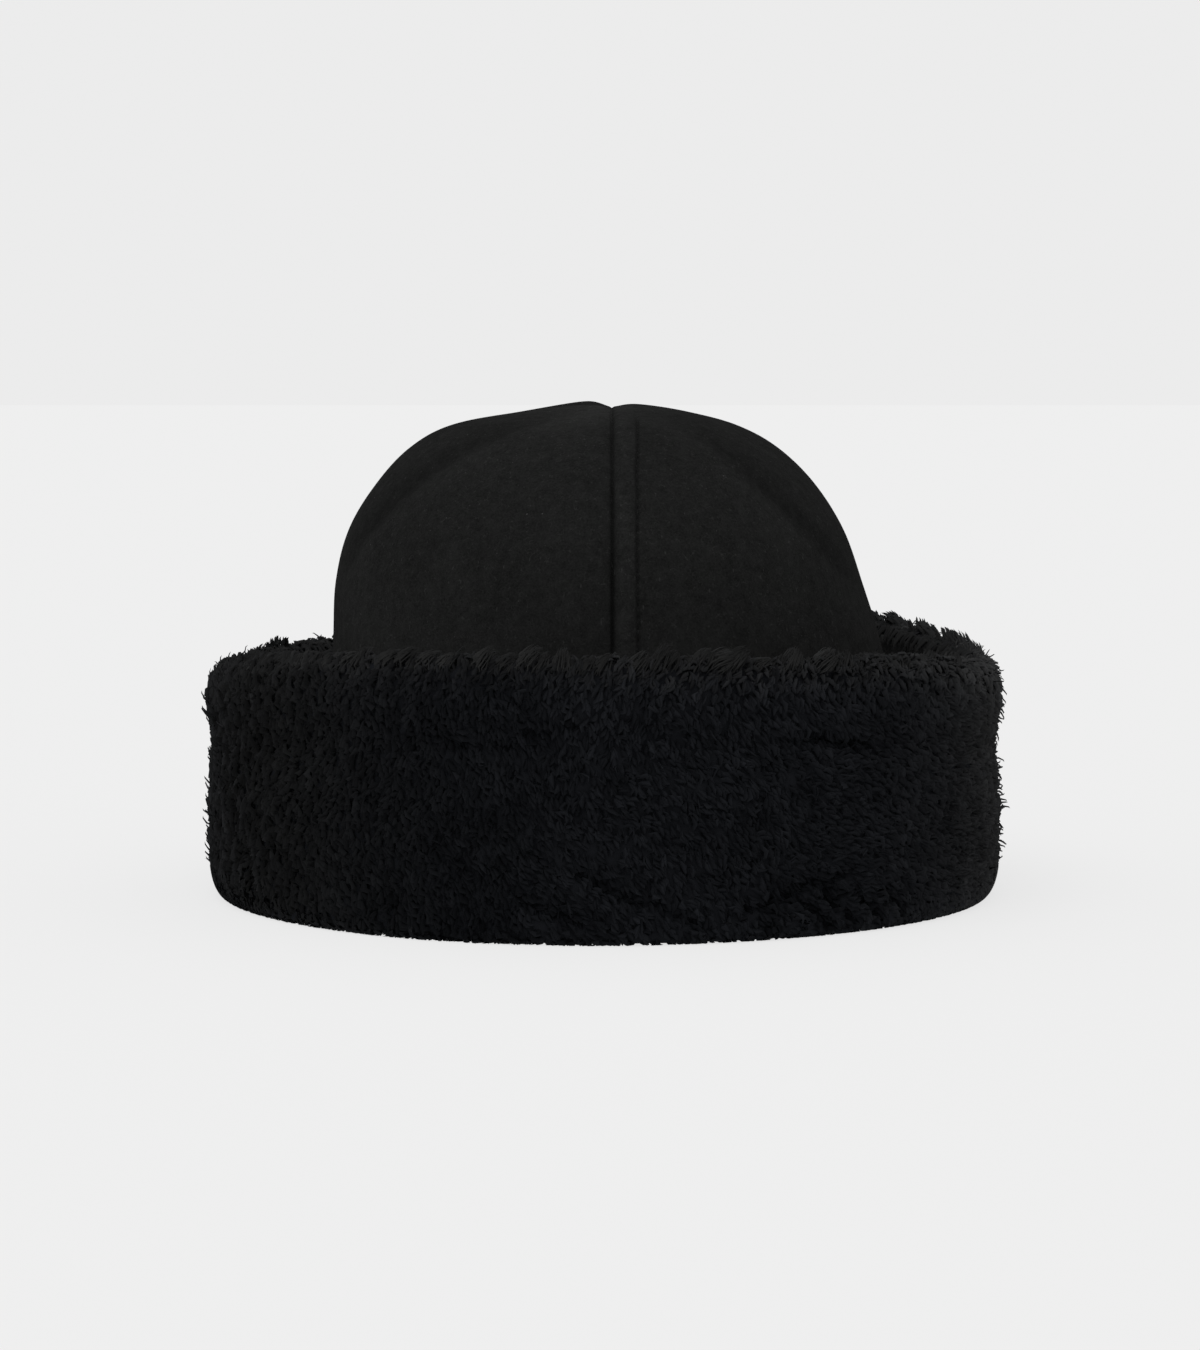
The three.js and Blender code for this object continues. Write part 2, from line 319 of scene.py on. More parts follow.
def dome_normal(panel, bearing, position):
    """The outward direction: the cross product of the differences between near points, level at the foot
    and upright at the top."""
    small = 0.01
    top = len(CROWN_SECTIONS) - 1
    below = np.minimum(position, top - 2 * small)
    here = dome_point(panel, bearing, below)
    around = dome_point(panel, bearing + small, below) - dome_point(panel, bearing - small, below)
    up = dome_point(panel, bearing, below + small) - dome_point(panel, bearing, np.maximum(below - small, 0))
    normal = unit(np.cross(around, up))
    outward = np.sign(normal[..., 0] * here[..., 0] + normal[..., 1] * here[..., 1])
    normal *= np.where(outward < 0, -1, 1)[..., None]
    upright = np.broadcast_to(position >= top, normal.shape[:-1])
    normal[upright] = (0, 0, 1)
    level = np.broadcast_to(position <= 0, normal.shape[:-1])
    normal[level, 2] = 0
    return unit(normal)


def stitch_line(height):
    """How far the topstitching lies from the centre seam: even, with a slow sway and one small kink."""
    return ALLOWANCE_WIDTH + 0.18 * np.sin(height / 11) - 0.45 * bell(height - 143, 3.5)


def dent_sums(panel, bearing, point):
    """The dent's depth and the painted shade in it: a bell across the distance from its middle
    line, faded out past both ends, times its depth or its painted shade. A painted highlight lies on the
    ridge beside it towards the centre seam."""
    x, y, z = point[..., 0], point[..., 1], point[..., 2]
    heights, bearings, depth, inner_reach, outer_reach, dent_painted_shade = CROWN_DENTS[panel]
    centre = curve_through(heights, bearings, np.clip(z, heights[0], heights[-1]))
    distance = np.radians(bearing - centre) * np.hypot(x, y)
    ends = step(z, heights[0], DENT_END_FADE) * step(-z, -heights[-1], DENT_END_FADE)
    across = bell(distance, np.where(distance > 0, inner_reach, outer_reach)) * ends
    ridge = bell(distance - 1.8 * inner_reach, inner_reach) * ends
    return depth * across, dent_painted_shade * (across - 0.4 * ridge)


def dome_relief(panel, bearing, point, outside):
    """How far the surface stands out from the plain dome: the ditches along the seams, the lobes between
    them near the top, the topstitched strip, the soft dents and a slow unevenness of the hide."""
    x, y, z = np.abs(point[..., 0]), np.abs(point[..., 1]), point[..., 2]
    nearest = np.minimum(x, y)
    shallow = (1 - 0.65 * step(z, 161.5, 0.8)) * step(z, DITCH_START, 3)
    relief = -DITCH_DEPTH * bell(nearest, DITCH_HALF_WIDTH) * shallow
    lobe = (1 - bell(x, LOBE_SEAM_REACH)) * (1 - bell(y, LOBE_SEAM_REACH)) * bell(np.hypot(x, y), LOBE_SPREAD)
    relief = relief + LOBE_RISE[panel] * lobe - dent_sums(panel, bearing, point)[0]
    if not outside:
        return relief
    relief = relief - CLEFT_DEPTH * bell(nearest, CLEFT_HALF_WIDTH) * shallow
    wave = np.sin(x / 9.1 + z / 14.3) + np.sin(y / 11.7 - z / 8.9 + 1) + np.sin((x - y) / 6.3 + z / 21)
    relief = relief + 0.09 * wave * (1 - bell(nearest, 4)) + LOFT * step(z, 110, 14)
    if panel == "front_right":
        stitch = stitch_line(z)
        strip = step(x, DITCH_HALF_WIDTH - 0.9, 0.5) * step(-x, -stitch, ALLOWANCE_EDGE)
        groove = bell(x - stitch, TOPSTITCH_HALF_WIDTH)
        pucker = 0.12 * np.sin(2 * math.pi * z / STITCH_PITCH) * bell(x - stitch, 1.5)
        below_top = step(-z, -ALLOWANCE_TOP, 1)
        relief = relief + (ALLOWANCE_RISE * strip - TOPSTITCH_DEPTH * groove + pucker) * below_top
    return relief


def seam_corner(panel):
    """Where the two seam edges of a panel cross."""
    end, side = panel.split("_")
    x = SEAM_X + (-1 if side == "left" else 1) * SEAM_GAP / 2
    y = SEAM_Y + (-1 if end == "front" else 1) * SEAM_GAP / 2
    return np.array([x, y, 0.0])


def crown_skin(panel, bearing, position, outside):
    """A point of a panel's outer or inner skin: the dome, moved along its normal by the relief and, for
    the inner skin, by the wall."""
    point = dome_point(panel, bearing, position)
    relief = dome_relief(panel, bearing, point, outside) - (0 if outside else CROWN_WALL)
    return point + dome_normal(panel, bearing, position) * relief[..., None] + seam_corner(panel)


def painted_light_on_nap(panel, bearing, position):
    """Painted light and shade on the nap: painted shade in the dents and close to the seams, and painted
    highlights in a few places, each a bell of the bearing times a bell of the height."""
    point = dome_point(panel, bearing, position)
    nearest = np.minimum(np.abs(point[..., 0]), np.abs(point[..., 1]))
    tone = 1 - dent_sums(panel, bearing, point)[1]
    for middle, height, half_turn, half_height, lighter in NAP_PAINTED_LIGHT[panel]:
        tone = tone + lighter * bell(bearing - middle, half_turn) * bell(point[..., 2] - height, half_height)
    if panel == "front_right":
        # A painted highlight along the raised strip beside the centre seam
        tone = tone + 0.22 * bell(np.abs(point[..., 0]) - 3.2, 3.0)
    # Painted shade along the seams, stronger below a height of about 132 mm
    shadow = 0.42 - 0.36 * step(point[..., 2], 132, 10)
    return tone * (1 - shadow * bell(nearest, 0.7))


def column_bearings(panel, positions, counts, zones):
    """Bearings of a panel's columns in each row. Columns stand an even distance apart in a zone beside the
    side seam and in one beside the centre seam, and between the zones they spread out and close up again
    as a cosine does. counts and zones are for the side, the middle and the centre."""
    end, side = panel.split("_")
    width = np.maximum(crown_value(side, positions) - SEAM_GAP / 2, 0.01)
    depth = np.maximum(crown_value(end, positions) - SEAM_GAP / 2, 0.01)
    side_reach = np.minimum(zones[0] / depth, 0.2)
    centre_reach = np.minimum(zones[1] / width, 0.6)
    beside = np.degrees(np.arcsin(side_reach * np.linspace(0, 1, counts[0])))
    centre = 90 - np.degrees(np.arcsin(centre_reach * np.linspace(1, 0, counts[2])))
    even = np.linspace(0, 1, counts[1] + 2)[1:-1]
    share = 0.45 * even + 0.55 * (1 - np.cos(math.pi * even)) / 2
    between = beside[:, -1:] + share * (centre[:, :1] - beside[:, -1:])
    return np.concatenate([beside, between, centre], 1)


def crown_panel(panel, rings, counts, zones, finish):
    """One quarter of the dome as a closed wall: an outer and an inner skin on the same grid of bearings
    and row positions, joined along the foot and both seams, all columns meeting at the top."""
    positions = np.linspace(0, len(CROWN_SECTIONS) - 1, rings + 1)[:, None]
    bearings = column_bearings(panel, positions, counts, zones)
    columns = sum(counts)
    per_skin = rings * columns + 1
    skins = [crown_skin(panel, bearings, positions, outside) for outside in (True, False)]
    points = np.concatenate([np.concatenate([s[:-1].reshape(-1, 3), s[-1, :1]]) for s in skins])
    corners = grid_corners(rings + 1, columns)
    row, column = corners[..., 0], corners[..., 1]
    number = np.where(row == rings, rings * columns, row * columns + column)
    real = real_triangles(number)
    skin_map = np.stack([0.01 + 0.46 * column / (columns - 1), 0.01 + 0.98 * row / rings], -1)
    outer, outer_map = number[real], skin_map[real]
    inner, inner_map = outer[:, ::-1] + per_skin, outer_map[:, ::-1] + (0.52, 0)
    up = np.arange(rings + 1)
    sides = [np.where(up == rings, rings * columns, up * columns + c) for c in (0, columns - 1)]
    edges = [(sides[0], False), (sides[1], True), (np.arange(columns), True)]
    parts, maps = [outer, inner], [outer_map, inner_map]
    for strip, (edge, turned) in enumerate(edges):
        corners = grid_corners(len(edge), 2)
        along, skin = corners[..., 0], corners[..., 1]
        faces = edge[along] + per_skin * skin
        spots = np.stack([0.478 + 0.014 * strip + 0.01 * skin, 0.01 + 0.98 * along / (len(edge) - 1)], -1)
        parts.append(faces[:, ::-1] if turned else faces)
        maps.append(spots[:, ::-1] if turned else spots)
    skin_tone = np.broadcast_to(painted_light_on_nap(panel, bearings, positions), (rings + 1, columns))
    tone = np.tile(np.append(skin_tone[:-1].ravel(), 1.0), 2)
    maps = {"OFBake": np.concatenate(maps)}
    return make_piece(f"suede_{panel}", points, np.concatenate(parts), finish, maps, tone)


def topstitching(finish):
    """The row of stitches beside the centre seam. Each stitch is a slim closed spindle of eight sides,
    whose radius follows the root of one minus the square of the place along it, laid in the groove."""
    panel = "front_right"
    top = len(CROWN_SECTIONS) - 1
    positions = np.linspace(STITCH_START, top, 1500)
    heights = crown_value("height", positions)
    runs = np.hypot(np.diff(heights), np.diff(crown_value("front", positions)))
    lengths = np.concatenate([[0], np.cumsum(runs)])
    last = np.interp(ALLOWANCE_TOP - 3, heights, lengths)
    middles = np.arange(STITCH_PITCH / 2, last, STITCH_PITCH)
    along = np.linspace(-1, 1, 9)
    sides = np.radians(np.arange(8) * 45)
    places = middles[:, None] + along[None, :] * STITCH_LENGTH / 2
    position = np.interp(places, lengths, positions)
    x = stitch_line(crown_value("height", position))
    bearing = np.degrees(np.arccos(np.clip(x / (crown_value("right", position) - SEAM_GAP / 2), -1, 1)))
    path = crown_skin(panel, bearing, position, True)
    out = dome_normal(panel, bearing, position)
    run = unit(np.gradient(path, axis=1))
    across = unit(np.cross(run, out))
    radius = STITCH_RADIUS * np.sqrt(np.maximum(1 - along**2, 0))
    dip = (-0.05 - 0.5 * along**2)[None, :, None]
    ring = np.cos(sides)[:, None] * across[:, :, None, :] * 1.25 + np.sin(sides)[:, None] * out[:, :, None, :]
    points = (path + out * dip)[:, :, None, :] + radius[None, :, None, None] * ring
    rows, columns = len(along), len(sides)
    corners = grid_corners(rows, columns + 1)
    row, column = corners[..., 0], corners[..., 1]
    number = row * columns + np.where((row == 0) | (row == rows - 1), 0, column % columns)
    number = number[real_triangles(number)]
    first = np.arange(len(middles))[:, None, None] * rows * columns
    triangles = (number[None] + first).reshape(-1, 3)
    points = points.reshape(-1, 3)
    used, triangles = np.unique(triangles, return_inverse=True)
    return make_piece("topstitch_thread", points[used], triangles.reshape(-1, 3), finish)


def round_the_cuff(values, bearing):
    """A smooth curve through values that stand evenly round the cuff from its right side, the same again
    all the way round. Bearings are in degrees."""
    places = np.arange(-2, len(values) + 3)
    return curve_through(places * 360 / len(values), values[places % len(values)], bearing % 360)


def rim_value(column, bearing):
    """One column of the rim's table at a bearing."""
    return round_the_cuff(RIM_STATIONS[:, column], bearing)


def path_lengths(rows):
    """How far along the section each row lies, from the first one."""
    return np.concatenate([[0], np.cumsum(np.hypot(np.diff(rows[:, 0]), np.diff(rows[:, 1])))])


HIDE_LENGTH = path_lengths(HIDE_ROWS)[-1]
PILE_LENGTH = path_lengths(PILE_ROWS)[-1]


def along_section(rows, at, small):
    """A section at lengths along it: the value of each column, and the section's direction outwards and
    upwards, which is the difference between two near points divided by its length."""
    lengths = path_lengths(rows)
    values = [curve_through(lengths, column, at) for column in rows.T]
    ahead, behind = np.minimum(at + small, lengths[-1]), np.maximum(at - small, 0)
    run_out, run_height = (
        curve_through(lengths, column, ahead) - curve_through(lengths, column, behind)
        for column in rows.T[:2]
    )
    size = np.hypot(run_out, run_height)
    return values, run_out / size, run_height / size


def on_ellipse(out, height, bearing):
    """A point at an offset out from the base ellipse: both half widths grow by the offset."""
    angle = np.radians(bearing)
    x = CUFF_X + (BASE_HALF_WIDTH + out) * np.cos(angle)
    y = CUFF_Y + (BASE_HALF_DEPTH + out) * np.sin(angle)
    return np.stack(np.broadcast_arrays(x, y, height), -1)


def hide_point(bearing, share, depth):
    """A point of the hide's fold: its section's curve, moved square to it out of the channel by a depth."""
    (out, height, follow), run_out, run_height = along_section(HIDE_ROWS, share * HIDE_LENGTH, 0.05)
    level = height - run_out * depth + follow * (rim_value(0, bearing) - RIM_FRONT)
    return on_ellipse(out + run_height * depth, level, bearing)


# Partings of the pile: bearing and height of both ends, depth, half width. The radius turns bearings into
# lengths, and the painted shade is that of a parting one millimetre deep.
PILE_RADIUS = 140
PARTING_PAINTED_SHADE = 0.22
PILE_PARTINGS = [
    (289, 9.0, 298, 17.5, 2.4, 2.2),
    (298, 17.5, 305, 19.5, 1.6, 2.0),
    (289, 11.0, 293, 4.0, 1.6, 1.8),
    (295, 14.5, 302.5, 3.0, 2.5, 2.1),
    (301, 14.0, 306.5, 3.0, 2.5, 2.0),
    (306.5, 13.5, 311, 3.5, 2.4, 2.0),
    (311, 13.5, 316, 3.5, 2.2, 1.9),
    (259, 13.0, 267, 6.0, 1.8, 1.8),
    (267, 22.0, 274, 12.5, 1.8, 1.7),
    (276, 13.0, 282, 6.5, 1.6, 1.7),
    (299, 62.5, 309, 60.0, 2.4, 1.7),
    (260, 65.0, 266, 66.5, 1.6, 1.8),
    (246, 60.0, 258, 59.5, 1.0, 1.5),
]


def parting_sinks(bearing, height):
    """How deep the partings are: each is a bell across the distance from a short line, and the deepest
    counts."""
    sink = np.zeros(np.broadcast(bearing, height).shape)
    for low_bearing, low_height, high_bearing, high_height, depth, half_width in PILE_PARTINGS:
        along = np.radians(bearing - low_bearing) * PILE_RADIUS
        run = math.radians(high_bearing - low_bearing) * PILE_RADIUS
        rise = high_height - low_height
        size = math.hypot(run, rise)
        share = np.clip((along * run + (height - low_height) * rise) / size**2, 0, 1)
        distance = np.hypot(along - share * run, height - low_height - share * rise)
        sink = np.maximum(sink, depth * bell(distance, half_width))
    return sink


def pile_sinks(bearing, height):
    """How deep the pile is pressed in: the level crease round the cuff with a narrow fold in it, and the
    partings."""
    crease = rim_value(1, bearing)
    deep = rim_value(2, bearing)
    waver = 1.6 * np.sin(np.radians(bearing) * 9) + 1.1 * np.sin(np.radians(bearing) * 23 + 1)
    sink = deep * bell(height - crease, CREASE_HALF_HEIGHT) + 0.2 * deep * bell(height - crease - waver, 2.2)
    return sink + parting_sinks(bearing, height)


def pile_root(bearing, share):
    """A point where the pile's locks are rooted: the cuff's outer section, moved inwards by its inset, the
    creases and soft lumps. The share runs from the fold at the crown's foot (0) to the rim (1)."""
    at = np.clip(share, 0, 1) * PILE_LENGTH
    (out, height, follow, inset), run_out, run_height = along_section(PILE_ROWS, at, 0.4)
    level = height + follow * (rim_value(0, bearing) - RIM_FRONT)
    around = bearing / 360
    rough = 0.8 * lumps(11, around, share, 150, 22) + 0.5 * lumps(12, around, share, 330, 46)
    inwards = inset + pile_sinks(bearing, level) * step(at, 31, 1.5) + rough * step(at, 36, 2)
    inwards = np.minimum(inwards, DEEPEST_ROOT)
    return on_ellipse(out - run_height * inwards, level + run_out * inwards, bearing)


def ring_piece(name, section, rows, segments, finish, row_tones=None):
    """A closed ring: a closed section, as a function of bearing and row number, carried right round."""
    bearing = np.arange(segments)[:, None] * 360 / segments
    points = section(bearing, np.arange(rows)[None, :]).reshape(-1, 3)
    corners = grid_corners(segments + 1, rows + 1)
    number = (corners[..., 0] % segments) * rows + corners[..., 1] % rows
    maps = np.stack([corners[..., 0] / segments, corners[..., 1] / rows], -1) * 0.98 + 0.01
    tone = None if row_tones is None else np.tile(row_tones, segments)
    return make_piece(name, points, number, finish, {"OFBake": maps}, tone)


def hide_ring(finish):
    """The hide's fold as a closed wall: down its outer face and back up its inner one, with a rounded
    edge at the rim."""
    half = 30

    def section(bearing, row):
        share = np.where(row < half, row / (half - 1), (2 * half - 1 - row) / (half - 1))
        depth = np.where(row < half, HIDE_WALL, 0.0)
        return hide_point(bearing, share, depth)

    return ring_piece("cuff_hide_fold", section, 2 * half, 240, finish)


def pile_base(finish):
    """The body of the pile: its rooted outer face, and the face that lies along the hide."""
    outer, inner = 64, 16

    def section(bearing, row):
        outside = pile_root(bearing, np.minimum(row / (outer - 1), 1))
        back = np.clip((outer + inner - 1 - row) / (inner - 1), 0, 1)
        inside = hide_point(bearing, back, HIDE_WALL + PIECE_GAP)
        return np.where((row < outer)[..., None], outside, inside)

    row_tones = np.repeat([ROOT_TONE, HIDDEN_TONE], [outer - 3, inner + 3])
    return ring_piece("pile_base", section, outer + inner, 320, finish, row_tones)


def pile_frame(bearing, share):
    """The root point with the directions to the right, along the section towards the rim, and outwards."""
    point = pile_root(bearing, share)
    wide, high = 0.6, 0.008
    above, below = np.minimum(share + high, 1), np.maximum(share - high, 0)
    right = unit(pile_root(bearing + wide, share) - pile_root(bearing - wide, share))
    up = unit(pile_root(bearing, above) - pile_root(bearing, below))
    out = unit(np.cross(right, up))
    return point, right, up, out


# Which way the pile lies, in degrees from rightwards to upwards, every 45 degrees round the cuff
PILE_LAY = np.array([150, 128, 108, 88, 72, 76, 116, 150])

# Shares of the section where the underside ends and the rim starts
UNDERSIDE, RIM_START = 0.235, 0.90

# The rounded foot: how far it reaches out on the floor, how much farther at the front, how much more at
# its top, its height, the gap above the floor, and how far the pile may reach above it
FOOT_REACH, FRONT_FOOT, FOOT_SPREAD, FOOT_HEIGHT, FLOOR_GAP, FREE_REACH = 28.2, 4.4, 5.4, 13.0, 0.12, 9


def pile_lay(bearing, share):
    """The direction of the locks: a smooth curve through the table, swaying with soft lumps, and turned
    up and to the right near the rim."""
    lay = round_the_cuff(PILE_LAY, bearing)
    lay = lay + 26 * lumps(21, bearing / 360, share, 26, 5) + 16 * lumps(22, bearing / 360, share, 80, 12)
    near_rim = step(share, RIM_START - 0.03, 0.02)
    lay = lay * (1 - near_rim) + (58 + 32 * step(share, 0.97, 0.006)) * near_rim
    return np.where(share < UNDERSIDE, 90 + 40 * lumps(23, bearing / 360, share, 60, 10), lay)


def pile_flip(bearing):
    """The share of clumps whose tips lie the other way along the same line: none at the left, all at the
    right, and changing over in the middle of the front and of the back."""
    return step(bearing, 277, 9) + step(-bearing, -90, 12)


# A lock's rings: places along it, widths and tones, and the tones of its ridge and its two other sides.
# These tones are painted light and shade: lighter roots that lift the shade between the locks, a painted
# highlight on the ridge and painted shade on the other two sides
LOCK_RINGS = np.array([0.0, 0.48, 0.84])
LOCK_SHAPE = np.array([0.85, 1.1, 0.72])
LOCK_PAINTED_LIGHT = np.array([1.3, 1.15, 1.0])
SIDE_PAINTED_LIGHT = np.array([1.22, 0.72, 0.72])
# The tip's tone, a little darker as painted shade, and the tones of the base's rooted face and of its face
# along the hide
TIP_TONE, ROOT_TONE, HIDDEN_TONE = 0.9, 1.15, 0.8
LOCK_SIDES = len(SIDE_PAINTED_LIGHT)

# How much the pile's own direction counts in a lock's shading, and fibres across and along a lock
LOCK_SOFTNESS = 0.84
STRANDS_AROUND, STRANDS_ALONG = 5.0, 1.2

# The short locks: lengths, leans from upright in degrees and how much less they lean at the rim, the depths
# of their roots and of the rim's, how far tips are drawn to their clump's, and how a loose lock differs
LOCK_LENGTH, UNDER_LENGTH = 3.9, 4.0
LOCK_LEAN, UNDER_LEAN, RIM_LEAN = 79, 84, 9
LOCK_DEPTH, RIM_DEPTH = 0.8, 0.6
CLUMP_PULL = 0.62
LOOSE_PULL, LOOSE_LEAN, LOOSE_LENGTH, LOOSE_RADIUS = 0.1, 30, 0.35, 0.35


def inside_foot(points):
    """Low points drawn in to the cuff's rounded foot, so that its lower edge is one clean curve: the offset
    from the base ellipse is at most that of a quarter ellipse over the height."""
    down = 1 - np.clip(points[..., 2:] / FOOT_HEIGHT, 0, 1)
    x, y = points[..., :1] - CUFF_X, points[..., 1:2] - CUFF_Y
    change = FRONT_FOOT * bell(x + 28, 64) * (y < 0)
    allowed = FOOT_REACH + change + (FOOT_SPREAD - change * 0.6) * np.sqrt(1 - down**2)
    allowed = allowed + FREE_REACH * (down <= 0)
    size = np.hypot(x / (BASE_HALF_WIDTH + allowed), y / (BASE_HALF_DEPTH + allowed))
    points[..., :2] = np.concatenate([x, y], -1) / np.maximum(size, 1) + (CUFF_X, CUFF_Y)
    points[..., 2] = np.maximum(points[..., 2], FLOOR_GAP)
    return points


def lock_mesh(root, bend, tip, radius, tone, out):
    """Closed, plump locks as rows of points: each follows a quadratic curve from its root by its bend to
    its tip, in rings of three that end in a blunt point, with a painted highlight along the ridge that faces
    outwards and painted shade on its other sides. It is shaded partly by its own sides and mostly by the way
    that the pile faces, because its fibres catch light from all round."""
    count = len(root)
    t = LOCK_RINGS[None, :, None]
    centre = (1 - t) ** 2 * root[:, None] + 2 * t * (1 - t) * bend[:, None] + t**2 * tip[:, None]
    run = unit(2 * (1 - t) * (bend - root)[:, None] + 2 * t * (tip - bend)[:, None])
    beside = unit(np.cross(tip - root, out))[:, None]
    level = unit(beside - run * np.sum(run * beside, -1, keepdims=True))
    square = np.cross(level, run)
    angle = math.pi / 2 + np.arange(LOCK_SIDES) * 2 * math.pi / LOCK_SIDES
    width = (radius[:, None] * LOCK_SHAPE)[:, :, None, None]
    ring = np.cos(angle)[:, None] * level[:, :, None] + np.sin(angle)[:, None] * square[:, :, None]
    rings = centre[:, :, None] + width * ring
    points = inside_foot(np.concatenate([rings.reshape(count, -1, 3), tip[:, None]], 1))
    facing = np.concatenate([ring.reshape(count, -1, 3), run[:, -1:]], 1)
    normals = unit(facing * (1 - LOCK_SOFTNESS) + out[:, None] * LOCK_SOFTNESS)
    per_lock = points.shape[1]
    corners = grid_corners(len(LOCK_RINGS) + 1, LOCK_SIDES + 1)
    row, side = corners[..., 0], corners[..., 1]
    number = np.minimum(row * LOCK_SIDES + side % LOCK_SIDES, per_lock - 1)
    across = (side - 0.5 * (row == len(LOCK_RINGS))) / LOCK_SIDES
    spots = np.stack([across, 0.14 + 0.8 * np.append(LOCK_RINGS, 1)[row]], -1)
    real = real_triangles(number)
    faces = np.concatenate([number[real][:, [0, 2, 1]], [[0, 1, 2]]])
    face_map = np.concatenate([spots[real][:, [0, 2, 1]], [[[0.2, 0.0], [0.8, 0.0], [0.5, 0.1]]]])
    triangles = (faces[None] + np.arange(count)[:, None, None] * per_lock).reshape(-1, 3)
    cells = math.ceil(math.sqrt(count))
    cell = np.stack([np.arange(count) % cells, np.arange(count) // cells], 1)[:, None, None, :]
    strand_map = face_map[None] * (STRANDS_AROUND, STRANDS_ALONG) + cell * (7.3, 3.9)
    maps = {
        "OFBake": ((face_map[None] * 0.9 + 0.05 + cell) / cells).reshape(-1, 3, 2),
        "Strand": strand_map.reshape(-1, 3, 2),
    }
    # Painted light and shade on each lock: lighter roots, a lit ridge, shaded sides and a darker tip
    tones = tone[:, None] * np.append(np.outer(LOCK_PAINTED_LIGHT, SIDE_PAINTED_LIGHT), TIP_TONE)[None, :, None]
    return points.reshape(-1, 3), triangles, maps, tones.reshape(-1, 3), normals.reshape(-1, 3)


# What turns the wool's own slightly bluish black nearly grey, a painted tint of the light
GREYER = (1.13, 1.065, 0.905)

# Where the pile is painted lighter or darker round the cuff, as painted light and shade: bearing, half
# width, change
PILE_PAINTED_LIGHT = [(194, 32, -0.54), (252, 21, -0.27), (272, 9, 0.12), (308, 24, -0.07)]


def pile_painted_light(bearing, share):
    """How light the pile is painted: a painted highlight towards the rim and most at its crest, a little darker
    low down, painted light at the right end, and painted light and shade from the bells of the table above."""
    from_right = (bearing + 180) % 360 - 180
    rim_painted_highlight = 0.25 * step(share, 0.82, 0.03) + 0.42 * step(share, 0.91, 0.02)
    rim_painted_highlight = rim_painted_highlight * (1 + 0.6 * bell(bearing - 205, 30))
    low = 0.06 * step(-share, -0.42, 0.04)
    return (0.98 + rim_painted_highlight - low) * (1 + bell(from_right, 28) + bells(PILE_PAINTED_LIGHT, bearing))


def pile_painted_tint(bearing, share):
    """The hue of the pile as a factor for each of red, green and blue, a painted tint of the light: a little
    bluish on the lower part of the front, and nearly grey everywhere else."""
    cool = step(bearing, 232, 8) * step(-bearing, -326, 7) * (1 - 0.8 * step(share, 0.91, 0.02))
    return 1 + (1 - cool[:, None]) * (np.array(GREYER) - 1)


def lock_tip(bearing, share, lay, lean, length):
    """A lock's root, the outward direction, the direction that it lies in, and its tip: the root plus its
    length times the cosine of its lean outwards and the sine the way that it lies. Angles in degrees."""
    root, right, up, out = pile_frame(bearing, share)
    lay, lean = np.radians(lay), np.radians(lean)[:, None]
    flat = np.cos(lay)[:, None] * right + np.sin(lay)[:, None] * up
    return root, out, flat, root + length[:, None] * (np.cos(lean) * out + np.sin(lean) * flat)


